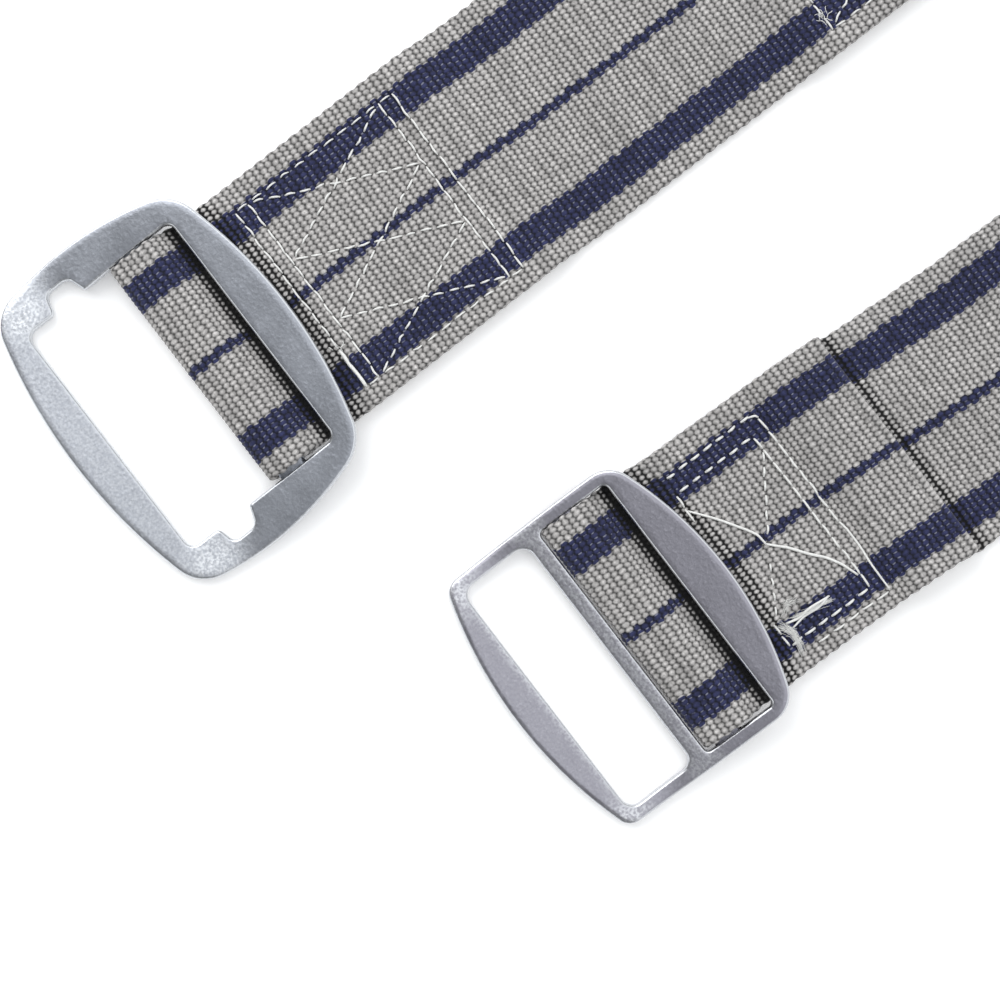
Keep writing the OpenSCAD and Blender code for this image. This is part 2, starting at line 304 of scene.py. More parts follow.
rib = 1.35  # from one rib of the weave to the next, along the belt
end_pitch = 1.04  # from one warp float to the next, across it
relief = 0.68  # depth of the weave
rib_share = 0.41  # how much of the relief is ribs, rather than the brick pattern of floats
fullness = 2.6  # above 1, floats are full and the gaps between them narrow
edge_bumps = 0.16  # how far each rib stands out of the selvage
EDGE_STEPS = 5  # points round each selvage


def weave(s, y):
    """Height of the weave, from 0 in its gaps to 1 on its floats, in a brick pattern."""
    ribs = np.cos(2 * np.pi * s / rib)
    floats = np.cos(np.pi * s / rib) * np.cos(2 * np.pi * y / end_pitch)
    return 1 - (1 - (1 + rib_share * ribs + (1 - rib_share) * floats) / 2) ** fullness


def cross_section(step_a, step_b):
    """Places round the webbing: y, the share of its half thickness, and 1 on face A, -1 on face B."""
    flat = half_web - web_t / 2
    ya = np.linspace(-flat, flat, int(round(2 * flat / step_a)) + 1)
    yb = np.linspace(flat, -flat, int(round(2 * flat / step_b)) + 1)
    angles = np.radians(np.linspace(90, -90, EDGE_STEPS + 2)[1:-1])
    edge_y = flat + web_t / 2 * np.cos(angles)
    y = np.r_[ya, edge_y, yb, -edge_y]
    h = np.r_[np.ones(len(ya)), np.sin(angles), -np.ones(len(yb)), -np.sin(angles)]
    u = np.r_[
        np.linspace(0, 1, len(ya)),
        1 + np.linspace(0, 1, EDGE_STEPS + 2)[1:-1],
        2 + np.linspace(0, 1, len(yb)),
        3 + np.linspace(0, 1, EDGE_STEPS + 2)[1:-1],
    ]
    return y, h, u


def zip_loops(first, u1, second, u2):
    """Triangles between two closed rings of different counts. u is the place round a ring, from 0 to 4."""
    n, m, i, j, out = len(first), len(second), 0, 0, []
    while i < n or j < m:
        a = u1[i + 1] if i + 1 < n else (4 if i < n else 9)
        b = u2[j + 1] if j + 1 < m else (4 if j < m else 9)
        if i < n and (a <= b or j >= m):
            out.append((first[i % n], first[(i + 1) % n], second[j % m]))
            i += 1
        else:
            out.append((first[i % n], second[(j + 1) % m], second[j % m]))
            j += 1
    return out


def woven_mesh(name, zones, place, sewn, painted_shade):
    """A closed strip of webbing. zones are (start, end, step, step on face A, step on face B)."""
    verts, uvs, dark, faces, tris = [], [], [], [], []
    count, last = 0, None
    for start, end, step, step_a, step_b in zones:
        rows = max(int(round((end - start) / step)), 1)
        s = start + (end - start) * np.arange(rows + 1) / rows
        y, h, u = cross_section(step_a, step_b)
        S, Y = np.meshgrid(s, y, indexing="ij")
        H = np.broadcast_to(h, S.shape)
        flat_part = np.abs(h) > 0.999
        sunk = relief * (1 - weave(S, Y)) * flat_part
        width = edge_bumps * np.cos(np.pi * S / rib) * ~flat_part * np.sign(Y)
        points = place(S, Y + width, H * web_t / 2 - np.sign(H) * sunk)
        for sewing in sewn:
            points = sewing.dent(points, H)
        k = len(y)
        index = count + np.arange((rows + 1) * k).reshape(rows + 1, k)
        a, b = index[:-1], index[1:]
        quads = np.stack([a, b, np.roll(b, -1, 1), np.roll(a, -1, 1)], -1)
        faces.append(quads.reshape(-1, 4))
        if last is not None:
            tris += zip_loops(last[0], last[1], list(index[0]), list(u))
        else:
            first_ring = list(index[0])
        last = (list(index[-1]), list(u))
        verts.append(points.reshape(-1, 3))
        uvs.append(np.stack([S, Y], -1).reshape(-1, 2))
        # the painted shade at each point, stored for the cloth's material
        dark.append(painted_shade(points[..., 0], Y, points[..., 2]).ravel())
        count += points.shape[0] * points.shape[1]
    caps = [first_ring[::-1], last[0]]
    every = [list(f) for part in faces for f in part.tolist()] + [list(t) for t in tris] + caps
    return finished_mesh(name, np.concatenate(verts), every, np.concatenate(uvs), np.concatenate(dark))


def finished_mesh(name, points, faces, uv=None, painted_shade=None):
    """An object with this mesh. A woven one also has its place on the cloth and how much painted shade it gets.
    """
    mesh = bpy.data.meshes.new(name)
    mesh.from_pydata((np.asarray(points) * MM).tolist(), [], faces)
    mesh.validate()
    if uv is not None:
        corner = np.empty(len(mesh.loops), int)
        mesh.loops.foreach_get("vertex_index", corner)
        layer = mesh.uv_layers.new(name="cloth")
        layer.data.foreach_set("uv", (uv[corner] * MM).astype(np.float32).ravel())
        # the painted shade, which darkens the cloth in its material
        mesh.attributes.new("painted_shade", "FLOAT", "POINT").data.foreach_set("value", painted_shade.astype(np.float32))
    mesh.shade_smooth()
    obj = bpy.data.objects.new(name, mesh)
    bpy.context.scene.collection.objects.link(obj)
    fix = bmesh.new()
    fix.from_mesh(mesh)
    bmesh.ops.remove_doubles(fix, verts=fix.verts, dist=1e-7)
    bmesh.ops.recalc_face_normals(fix, faces=fix.faces)
    fix.to_mesh(mesh)
    fix.free()
    return obj


def table(*pairs):
    """A function of the place along an end, eased between the (place, value) pairs."""
    at, values = np.array(pairs, float).T

    def look_up(x):
        i = np.clip(np.searchsorted(at, x) - 1, 0, len(at) - 2)
        share = smooth((x - at[i]) / (at[i + 1] - at[i]))
        return values[i] + (values[i + 1] - values[i]) * share

    return look_up


def painted_shade_by(near_x, far_x, bow, flap_x=400):
    """How much painted shade an upward face gets where the metal bar or the flap lies above it, on top of the
    real shadow there. The bar's far side is bowed.
    """
    before = table((-400, 0), (near_x - 2.8, 0), (near_x - 1.7, 0.5), (near_x - 0.8, 1), (400, 1))
    after = table(
        (-400, 1), (far_x - 1.5, 1), (far_x - 0.2, 0.45), (far_x + 2.5, 0.3), (far_x + 4.5, 0), (400, 0)
    )
    beyond = table(
        (-400, 0), (flap_x - 0.1, 0), (flap_x, 0.7), (flap_x + 0.6, 0.4), (flap_x + 3.5, 0), (800, 0)
    )
    on_upper = table((-400, 0), (high - 0.4, 0), (high, 1), (400, 1))
    on_lower = table((-400, 0), (low - 0.4, 0), (low, 1), (400, 1))

    def look_up(x, y, z):
        by_bar = np.minimum(before(x), after(x + bow * y**2)) * on_upper(z)
        return np.maximum(by_bar, beyond(x) * on_lower(z))

    return look_up


# Painted shade under each near bar, and on the strap just beyond the male flap's folded end
tab_painted_shade = painted_shade_by(frame_open_x1, frame_x1, 0.0067)
belt_painted_shade = painted_shade_by(plate_near_x0, plate_x1, 0.0085, flap_end_x)

# The webbing doesn't lie quite straight: how far it strays towards +Y, by the place in X
female_stray = table(
    (-110, 0.45), (-91, 0.45), (-76, 0.0), (-33, 0.1), (-16, -0.3), (30, -0.4), (72, -0.3), (84, 0)
)
male_leg_stray = table(
    *((-65, 0.9), (-41, 0.3), (-20, -0.3), (-10, -0.8), (1, -2.1), (8, -2.5)),
    *((16, -3.0), (26, -3.5), (40, -3.7), (60, -2.6), (76, 0)),
)
male_flap_stray = table((-65, 0.9), (-52, 0.7), (-36, 0.1), (-16, -0.3), (-1, -1.0), (20, -1.0))

# The share by which it is pressed wider on the plate's side
male_spread = table((-66, 0.026), (-50, 0.026), (-38, 0.006), (-1, 0.006), (2, 0), (400, 0))


def place_tab(s, y, h):
    """Where the tab's webbing lies: from its tail round the frame's bar and back over to the lap."""
    p, n = tab_path.at(s)
    x = p[..., 0] + n[..., 0] * h
    return np.stack([x, female_y + y + female_stray(x), p[..., 1] + n[..., 1] * h], -1)


def place_belt(s, y, h):
    """Where the belt's webbing lies: a leg, a slanting fold, the folded runs, another fold, the other leg."""
    s_first = fold_x - lap_x0
    q = s - s_first
    p = q - run_length
    half_turn = math.pi * turn_r / 2
    r2 = math.sqrt(2)
    d1 = (q + y) / r2
    d2 = (p - y) / r2

    def fold(d, e, centre_y, z):
        """The slanting fold: d is the distance past its line and e the distance along it."""
        angle = np.clip((d + half_turn) / turn_r, 0, math.pi)
        rolled = -half_turn + (turn_r - h) * np.sin(angle)
        n = np.where(d < -half_turn, d, np.where(d > half_turn, -d, rolled))
        height = z + turn_r - (turn_r - h) * np.cos(angle)
        return np.stack([fold_x + (n + e) / r2, centre_y + (n - e) / r2, height], -1)

    first = fold(d1, (q - y) / r2, female_y, low)
    first[..., 1] += female_stray(first[..., 0])
    second = fold(d2, (-y - p) / r2, male_y, low + (runs - 1) * layer_pitch)
    m, mn = run_path.at(q + stub)
    middle = np.stack([fold_x - y + 0 * q, m[..., 0] + mn[..., 0] * h, m[..., 1] + mn[..., 1] * h], -1)
    g, gn = male_path.at(p + stub)
    on_flap = p + stub > male_turn
    stray = np.where(on_flap, male_flap_stray(g[..., 0]), male_leg_stray(g[..., 0]))
    stray += y * male_spread(g[..., 0])
    last = np.stack([g[..., 0] + gn[..., 0] * h, male_y + y + stray, g[..., 1] + gn[..., 1] * h], -1)
    out = np.where((d1 < half_turn)[..., None], first, middle)
    out = np.where((d2 > -half_turn)[..., None], second, out)
    on_leg = (d2 > half_turn) & (p > 0) & (g[..., 0] < fold_x + stub - 1)
    return np.where(on_leg[..., None], last, out)


# --- sewing -------------------------------------------------------------------------------

sewn_top = 2 * web_t
CELL = 0.1  # size of a cell in a map of how deep the sewing presses the webbing


class Sewing:
    """Stitches on one end of the belt. Places are relative to the hinge's X and the end's centre line."""

    def __init__(self, x, y, wide):
        self.x, self.y = x, y
        self.low = np.array([-2.0, -half_web - 2])
        self.pressed = np.zeros((int((wide + 4) / CELL), int((web_w + 4) / CELL)))
        self.pieces = {}

    def press(self, at, depth, spread):
        """A dent of the given depth in the webbing."""
        reach = int(2.5 * spread / CELL) + 1
        i, j = ((np.asarray(at) - self.low) / CELL).astype(int)
        i0, j0 = max(i - reach, 0), max(j - reach, 0)
        patch = self.pressed[i0 : i + reach, j0 : j + reach]
        a = (np.arange(i0, i0 + patch.shape[0]) + 0.5) * CELL + self.low[0] - at[0]
        b = (np.arange(j0, j0 + patch.shape[1]) + 0.5) * CELL + self.low[1] - at[1]
        dent = depth * np.exp(-(a[:, None] ** 2 + b[None, :] ** 2) / spread**2)
        np.maximum(patch, dent, out=patch)

    def row(self, node, a, b, pitch=3.0, share=0.85, radius=0.2, sunk=0.0, stray=0.07):
        """A row of stitches from a to b. Each shows for this share of the pitch."""
        a, b = np.array(a, float), np.array(b, float)
        long = np.linalg.norm(b - a)
        count = max(int(round(long / pitch)), 1)
        step = (b - a) / count
        for i in range(count):
            p = a + step * (i + (1 - share) / 2) + random.normal(0, stray, 2)
            q = a + step * (i + (1 + share) / 2) + random.normal(0, stray, 2)
            for u in np.linspace(0, 1, 12):
                self.press(p + (q - p) * u, 0.14 + 0.5 * sunk, 0.42)
            for end in (p, q):
                self.press(end, 0.62, 0.3)
            self.strand(node, [p, (p + q) / 2 + random.normal(0, stray, 2), q], radius, lift=0.16 - sunk)

    def strand(self, node, through, radius, lift=0.16, dips=True, steps=8):
        """Thread that lies on the webbing through these places, and dips into it at its ends."""
        through = np.array(through, float)
        u = np.linspace(0, len(through) - 1, steps * (len(through) - 1) + 1)
        line = np.stack([np.interp(u, range(len(through)), through[:, i]) for i in (0, 1)], 1)
        for _ in range(3):
            line[1:-1] = (line[:-2] + 2 * line[1:-1] + line[2:]) / 4
        t = np.linspace(0, 1, len(line))
        z = np.full(len(line), sewn_top - 0.02 + lift)
        if dips:
            long = np.linalg.norm(through[-1] - through[0])
            z -= 0.5 * np.maximum(0, 1 - np.minimum(t, 1 - t) * long / 0.55)
        radii = radius * (0.7 + 0.3 * np.sqrt(np.sin(np.pi * np.clip(t, 0.03, 0.97))))
        placed = np.column_stack([line + [self.x, self.y], z])
        self.pieces.setdefault(node, []).append(tube(placed, radii))

    def wisps(self, node, at, spread, count, long, radius=0.06):
        """Frayed fibres that stand out of a thread's end."""
        for _ in range(count):
            steps = 9
            heading = random.uniform(0, 2 * np.pi) + np.cumsum(random.normal(0, 0.25, steps))
            step = long * random.uniform(0.4, 1.0) / steps
            line = np.array(at) + random.normal(0, spread, 2)
            line = line + np.cumsum(step * np.stack([np.cos(heading), np.sin(heading)], 1), 0)
            z = sewn_top + 0.1 + 0.9 * random.uniform(0.2, 1) * np.sin(np.linspace(0.2, 2.6, steps))
            placed = np.column_stack([line + [self.x, self.y], z])
            self.pieces.setdefault(node, []).append(tube(placed, np.full(steps, radius), 5))

    def tuft(self, node, through, count, spread, radius=0.03):
        """Loose fibres that lie together along these places and part at their ends."""
        through = np.array(through, float)
        for _ in range(count):
            a, b = np.sort(random.uniform(0, len(through) - 1, 2))
            u = np.linspace(a, b + 0.35, 12)
            line = np.stack([np.interp(u, range(len(through)), through[:, i]) for i in (0, 1)], 1)
            line += random.normal(0, spread, 2)
            line += np.outer(np.linspace(-1, 1, 12), random.normal(0, spread, 2))
            for _ in range(2):
                line[1:-1] = (line[:-2] + 2 * line[1:-1] + line[2:]) / 4
            z = sewn_top + 0.1 + 0.5 * random.uniform(0.1, 1) * np.sin(np.linspace(0.2, 2.9, 12))
            placed = np.column_stack([line + [self.x, self.y], z])
            self.pieces.setdefault(node, []).append(tube(placed, np.full(12, radius), 5))

    def dent(self, points, h):
        """Lowers the upper face of webbing where the sewing presses it."""
        x, y, z = points[..., 0] - self.x, points[..., 1] - self.y, points[..., 2]
        i = ((x - self.low[0]) / CELL).astype(int)
        j = ((y - self.low[1]) / CELL).astype(int)
        inside = (i >= 0) & (j >= 0) & (i < self.pressed.shape[0]) & (j < self.pressed.shape[1])
        inside &= (z > sewn_top - 0.6) & (h > 0.9)
        points[inside, 2] -= self.pressed[i[inside], j[inside]]
        return points


def tube(points, radii, sides=8):
    """Vertices and faces of a round tube along the points, closed at both ends."""
    points = np.asarray(points, float)
    t = np.gradient(points, axis=0)
    t /= np.linalg.norm(t, axis=1)[:, None] + 1e-9
    side = np.cross(t, [0, 0, 1.0])
    side /= np.linalg.norm(side, axis=1)[:, None] + 1e-9
    up = np.cross(side, t)
    angles = np.linspace(0, 2 * np.pi, sides, endpoint=False)
    ring = np.cos(angles)[None, :, None] * side[:, None] + np.sin(angles)[None, :, None] * up[:, None]
    verts = (points[:, None] + ring * np.asarray(radii)[:, None, None]).reshape(-1, 3)
    n = len(points)
    faces = [
        (i * sides + j, (i + 1) * sides + j, (i + 1) * sides + (j + 1) % sides, i * sides + (j + 1) % sides)
        for i in range(n - 1)
        for j in range(sides)
    ]
    faces += [tuple(range(sides)), tuple(range((n - 1) * sides, n * sides))[::-1]]
    return verts, faces


def merged(name, parts):
    """One object made of all the parts' vertices and faces."""
    verts, faces, base = [], [], 0
    for v, f in parts:
        verts.append(v)
        faces += [tuple(base + i for i in face) for face in f]
        base += len(v)
    return finished_mesh(name, np.concatenate(verts), faces)


def sew_box(sewing, node, xs, y0, y1):
    """Rows across a box at each of the places xs, and faint ones along it."""
    for x in xs:
        sewing.row(node, (x, y1), (x - 0.2, y0), pitch=3.0, share=0.86, radius=0.2, stray=0.1)
    for y in (y0, y1):
        sewing.row(node, (xs[0], y), (xs[-1], y), pitch=3.3, share=0.62, radius=0.17, sunk=0.1, stray=0.1)


def sew_zigzags(sewing, node, x0, x1, ys):
    """Two zigzags that cross each other between x0 and x1."""
    for y0, y1 in zip(ys, ys[1:]):
        for a, b in (((x0, y0), (x1, y1)), ((x0, y1), (x1, y0))):
            sewing.row(node, a, b, pitch=2.9, share=0.66, radius=0.2, sunk=0.1, stray=0.12)


female_sewing = Sewing(female_hinge_x, female_y, 42)
sew_box(female_sewing, "female_box_seams", [1.1, 4.0, 35.0, 38.1], -21.3, 19.9)
sew_zigzags(female_sewing, "female_zigzag_seams", 4.5, 34.5, [-20.9, -7.8, 6.2, 19.6])
female_sewing.strand("female_box_seams", [(0.9, -12.6), (0.7, -16), (0.9, -18.5), (0.7, -21)], 0.34)
female_sewing.wisps("female_box_seams", (1.0, -12.2), 0.5, 7, 1.6)

lap_sewing = Sewing(lap_x0, female_y, 38)
sew_box(lap_sewing, "lap_box_seams", [3.0, 31.2, 34.0], -21.2, 20.4)
sew_zigzags(lap_sewing, "lap_zigzag_seams", 3.8, 30.4, [-20.6, -6.9, 6.9, 20.2])
lap_sewing.wisps("lap_box_seams", (2.6, -18.4), 0.5, 12, 2.2)

male_sewing = Sewing(male_hinge_x, male_y, 32)
DASH = {"pitch": 3.1, "share": 0.56, "radius": 0.25}
LONG = {"pitch": 3.0, "share": 0.9, "radius": 0.22}
box, cross = "male_box_seams", "male_cross_seam"
male_sewing.row(box, (0.3, 20.0), (20.6, 20.0), **DASH)
male_sewing.strand(box, [(20.0, 19.8), (21.2, 19.4), (21.6, 18.8)], 0.22)
male_sewing.row(box, (0.9, 16.6), (18.4, 16.5), **DASH)
male_sewing.row(box, (0.2, -19.2), (18.7, -19.5), pitch=3.1, share=0.66, radius=0.25)
male_sewing.row(box, (4.5, -21.8), (21.4, -22.3), pitch=3.2, share=0.7, radius=0.19)
male_sewing.row(box, (18.6, 16.3), (18.9, -19.4), **LONG)
male_sewing.row(box, (0.2, 16.4), (0.1, 10.5), **LONG)
male_sewing.row(box, (0.2, -14.0), (0.1, -19.2), **LONG)
male_sewing.row(box, (21.6, 18.6), (21.7, -6.0), **LONG)
male_sewing.strand(box, [(21.7, -6.2), (22.0, -8), (22.0, -12), (21.6, -16), (21.5, -22.2)], 0.22)
male_sewing.strand(box, [(2.2, -15.3), (4.5, -15.9), (7.5, -15.6), (11.7, -16.1)], 0.25, lift=0.3)
male_sewing.strand(box, [(2.6, -16.7), (5.5, -16.2), (9.0, -16.6), (11.5, -16.0)], 0.22, lift=0.25)
male_sewing.tuft(box, [(0.3, -14.6), (1.4, -15.8), (2.2, -17.4), (2.0, -19.2), (1.4, -21.4)], 90, 0.3)
male_sewing.tuft(box, [(3.0, -13.6), (4.6, -12.2), (6.0, -13.0)], 30, 0.3)
male_sewing.tuft(box, [(3.2, -15.0), (6.0, -15.8), (8.5, -16.1), (11.6, -17.0)], 60, 0.2)
male_sewing.row(cross, (18.6, 13.3), (9.4, -0.3), pitch=2.8, share=0.6, radius=0.22, sunk=0.05)
male_sewing.row(cross, (6.9, -4.0), (1.2, -13.4), pitch=2.8, share=0.55, radius=0.2, sunk=0.08)
male_sewing.strand(cross, [(0.3, 12.8), (3.8, 8.2), (7.2, 2.8), (8.0, 1.2), (8.2, -1.2)], 0.25)
cross_end = [(8.2, -1.1), (9.6, -2.6), (11.0, -4.0), (13.4, -7.4), (15.6, -9.9), (17.2, -12.7), (18.4, -16.2)]
male_sewing.strand(cross, cross_end, 0.27, lift=0.24)


def thread_piece(sewing, node):
    """The thread of all the stitches that one CAD node stands for."""
    obj = merged(node.replace("seam", "thread"), sewing.pieces[node])
    obj.data.materials.append(thread_material)
    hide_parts(node)
    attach(obj, "belt")
    return obj


# --- stamped metal ------------------------------------------------------------------------


def bow_r(chord, sag):
    """Radius of an arc with this sag over this chord."""
    return (chord * chord / 4 + sag * sag) / (2 * sag)


def corner_centre(ce, re, cs, rs, r, way):
    """Centre of a corner of radius r between an end's arc and a side's, on the +X side if way is 1."""
    d = np.linalg.norm(cs - ce)
    a = (d * d + (re - r) ** 2 - (rs - r) ** 2) / (2 * d)
    h = math.sqrt((re - r) ** 2 - a * a)
    u = (cs - ce) / d
    side = np.array([-u[1], u[0]])
    return max((ce + a * u + h * side, ce + a * u - h * side), key=lambda q: way * q[0])


def angle_to(c, p):
    """Angle in degrees of the line from c to p."""
    return math.degrees(math.atan2(p[1] - c[1], p[0] - c[0]))


bow_chord = 52.0  # the bow of each end is given as a sag over this chord


def bowed(x0, x1, w, sag0, sag1, rs, side_x, r0, r1):
    """Outline of a buckle whose ends bow by sag0 and sag1, and whose long sides bow with radius rs."""
    ra, rb = bow_r(bow_chord, sag0), bow_r(bow_chord, sag1)
    ca, cb, cs = (np.array(c) for c in ([x0 + ra, 0], [x1 - rb, 0], [x0 + side_x, w / 2 - rs]))
    qb = corner_centre(cb, rb, cs, rs, r1, 1)
    qa = corner_centre(ca, ra, cs, rs, r0, -1)
    half = joined(
        arc(cb, rb, 0, angle_to(cb, qb), 30),
        arc(qb, r1, angle_to(cb, qb), angle_to(cs, qb), 16),
        arc(cs, rs, angle_to(cs, qb), angle_to(cs, qa), 24),
        arc(qa, r0, angle_to(cs, qa), angle_to(ca, qa), 16),
        arc(ca, ra, angle_to(ca, qa), 180, 30),
    )
    return joined(half, half[-2:0:-1] * [1, -1])


def rounded(corners):
    """A closed outline from (x, y, radius) corners, taken anticlockwise."""
    out = []
    n = len(corners)
    for i, (x, y, r) in enumerate(corners):
        p = np.array([x, y])
        a = np.array(corners[i - 1][:2]) - p
        b = np.array(corners[(i + 1) % n][:2]) - p
        a, b = a / np.linalg.norm(a), b / np.linalg.norm(b)
        half = math.acos(np.clip(a @ b, -1, 1)) / 2
        reach = r / math.tan(half)
        centre = p + (a + b) / np.linalg.norm(a + b) * r / math.sin(half)
        start, end = angle_to(centre, p + a * reach), angle_to(centre, p + b * reach)
        sweep = (end - start + 180) % 360 - 180
        out.append(arc(centre, r, start, start + sweep, 8))
    return joined(*out)


def inset_loop(loop, d):
    """The closed loop moved sideways by d, to its left."""
    before, after = loop - np.roll(loop, 1, 0), np.roll(loop, -1, 0) - loop
    normals = []
    for e in (before, after):
        e = e / np.linalg.norm(e, axis=1)[:, None]
        normals.append(np.stack([-e[:, 1], e[:, 0]], 1))
    m = normals[0] + normals[1]
    m /= np.linalg.norm(m, axis=1)[:, None]
    return loop + m * (d / np.maximum((m * normals[0]).sum(1), 0.4))[:, None]


soft_bend_r = 40.0  # the metal is set to its slope more gently than the CAD's bend, along the same lines


def stamped(name, outer, holes, set_x, slope, centre_y, bar, roll, edge_r=0.55):
    """A stamping with rounded rims, set to a slope beyond set_x, and the bar that webbing wraps.

    roll is how far in from its outline the upper face rolls over, and by how much.
    """
    bend_x = set_x - (soft_bend_r - bend_r) * math.tan(slope / 2)
    bend = arc([bend_x, metal_t / 2 + soft_bend_r], soft_bend_r, 270, 270 + math.degrees(slope), 12)
    along = 60 * np.array([math.cos(slope), math.sin(slope)])
    mid = Path(joined([outer[:, 0].min() - 5, metal_t / 2], bend, bend[-1] + along))
    angles = np.radians(np.linspace(0, 90, 6))
    profile = [(edge_r * (1 - math.cos(a)), metal_t / 2 - edge_r * (1 - math.sin(a))) for a in angles]
    profile = [(i, -z) for i, z in profile[::-1]] + profile
    wide, drop = roll
    rolled = [(i, z - (drop if z > 0 else 0)) for i, z in profile]
    for u in (0.25, 0.5, 0.75, 1):
        rolled.append((edge_r + (wide - edge_r) * u, metal_t / 2 - drop * (1 - u) ** 2))
    bm = bmesh.new()
    # rim is 1 on the rounded edge; the material paints a highlight there
    rim = bm.verts.layers.float.new("rim")
    ends = ([], [])
    for loop, section in [(outer, rolled)] + [(h[::-1], profile) for h in holes]:
        rings = []
        for i, z in section:
            ring = [bm.verts.new((*p, z)) for p in inset_loop(loop, i)]
            for v in ring:
                v[rim] = max(1 - i / edge_r, 0)
            rings.append(ring)
        n = len(loop)
        for a, b in zip(rings, rings[1:]):
            for i in range(n):
                bm.faces.new((a[i], a[(i + 1) % n], b[(i + 1) % n], b[i]))
        for ring, edges in zip((rings[0], rings[-1]), ends):
            edges += [bm.edges.get((ring[i], ring[(i + 1) % n])) for i in range(n)]
    for edges in ends:
        bmesh.ops.triangle_fill(bm, use_beauty=True, use_dissolve=False, edges=edges)
    lo, hi = outer.min(0), outer.max(0)
    for x in np.arange(lo[0] + 1.03, hi[0], 1.0):
        geom = bm.verts[:] + bm.edges[:] + bm.faces[:]
        bmesh.ops.bisect_plane(bm, geom=geom, dist=1e-4, plane_co=(x, 0, 0), plane_no=(1, 0, 0))
    for v in bm.verts:
        z = float(np.interp(v.co.x, mid.p[:, 0], mid.p[:, 1]))
        tilt = float(np.interp(v.co.x, mid.p[:, 0], mid.n[:, 1]))
        v.co.z = z + v.co.z / tilt
    add_bar(bm, *bar)
    bmesh.ops.recalc_face_normals(bm, faces=bm.faces)
    for v in bm.verts:
        v.co = Vector((v.co.x, v.co.y + centre_y, v.co.z)) * MM
    mesh = bpy.data.meshes.new(name)
    bm.to_mesh(mesh)
    bm.free()
    mesh.shade_smooth()
    obj = bpy.data.objects.new(name, mesh)
    bpy.context.scene.collection.objects.link(obj)
    return obj


def add_bar(bm, x0, set_x, slope, width):
    """The bar inside the webbing's fold, with round edges, run into both side arms."""
    c = np.array([x0 + bar_t / 2, (x0 + bar_t / 2 - set_x) * math.tan(slope) + bar_t / 2])
    span = bar_w - bar_t
    outline = joined(arc([0, 0], bar_t / 2, 270, 90, 10), arc([span, 0], bar_t / 2, 90, -90, 10)[:-1])
    section = outline @ turned(slope).T + c
    run_in = 0.5  # into each side arm
    places = np.linspace(-width / 2 - run_in, width / 2 + run_in, 14)
    rings = [[bm.verts.new((x, y, z)) for x, z in section] for y in places]
    n = len(section)
    for a, b in zip(rings, rings[1:]):
        for i in range(n):
            bm.faces.new((a[i], b[i], b[(i + 1) % n], a[(i + 1) % n]))
    bm.faces.new(rings[0])
    bm.faces.new(rings[-1][::-1])


# --- materials ----------------------------------------------------------------------------


class Nodes:
    """Short names for the nodes of one material."""

    def __init__(self, name):
        self.material = bpy.data.materials.new(name)
        self.material.use_nodes = True
        self.tree = self.material.node_tree
        self.shader = self.tree.nodes["Principled BSDF"]

    def put(self, socket, value):
        if isinstance(value, bpy.types.NodeSocket):
            self.tree.links.new(value, socket)
        else:
            socket.default_value = value

    def math(self, op, a, b=0.0):
        node = self.tree.nodes.new("ShaderNodeMath")
        node.operation = op
        self.put(node.inputs[0], a)
        self.put(node.inputs[1], b)
        return node.outputs[0]

    def add(self, a, b):
        return self.math("ADD", a, b)

    def mul(self, a, b):
        return self.math("MULTIPLY", a, b)

    def cos(self, a):
        return self.math("COSINE", a)

    def step(self, value, start, end, low_out=0.0, high_out=1.0):
        """Eases from low_out to high_out as value goes from start to end."""
        node = self.tree.nodes.new("ShaderNodeMapRange")
        node.interpolation_type = "SMOOTHSTEP"
        for socket, v in zip(node.inputs, (value, start, end, low_out, high_out)):
            self.put(socket, v)
        return node.outputs[0]

    def mix(self, share, a, b):
        node = self.tree.nodes.new("ShaderNodeMix")
        node.data_type = "RGBA"
        self.put(node.inputs["Factor"], share)
        self.put(node.inputs["A"], a)
        self.put(node.inputs["B"], b)
        return node.outputs["Result"]

    def scaled(self, colour, value):
        """Colour times a number."""
        node = self.tree.nodes.new("ShaderNodeVectorMath")
        node.operation = "SCALE"
        self.put(node.inputs[0], colour)
        self.put(node.inputs["Scale"], value)
        return node.outputs[0]

    def noise(self, scale, detail=2.0, vector=None, stretch=None):
        node = self.tree.nodes.new("ShaderNodeTexNoise")
        node.inputs["Scale"].default_value = scale
        node.inputs["Detail"].default_value = detail
        if vector is None:
            vector = self.tree.nodes.new("ShaderNodeTexCoord").outputs["Object"]
        if stretch:
            mapping = self.tree.nodes.new("ShaderNodeMapping")
            mapping.inputs["Scale"].default_value = stretch
            self.put(mapping.inputs["Vector"], vector)
            vector = mapping.outputs[0]
        self.put(node.inputs["Vector"], vector)
        return node.outputs["Fac"]

    def bump(self, height, distance, strength=1.0):
        node = self.tree.nodes.new("ShaderNodeBump")
        node.inputs["Strength"].default_value = strength
        node.inputs["Distance"].default_value = distance
        self.put(node.inputs["Height"], height)
        self.put(self.shader.inputs["Normal"], node.outputs[0])


def attribute(n, name):
    """A number stored at each point of a mesh."""
    node = n.tree.nodes.new("ShaderNodeAttribute")
    node.attribute_name = name
    return node.outputs["Fac"]


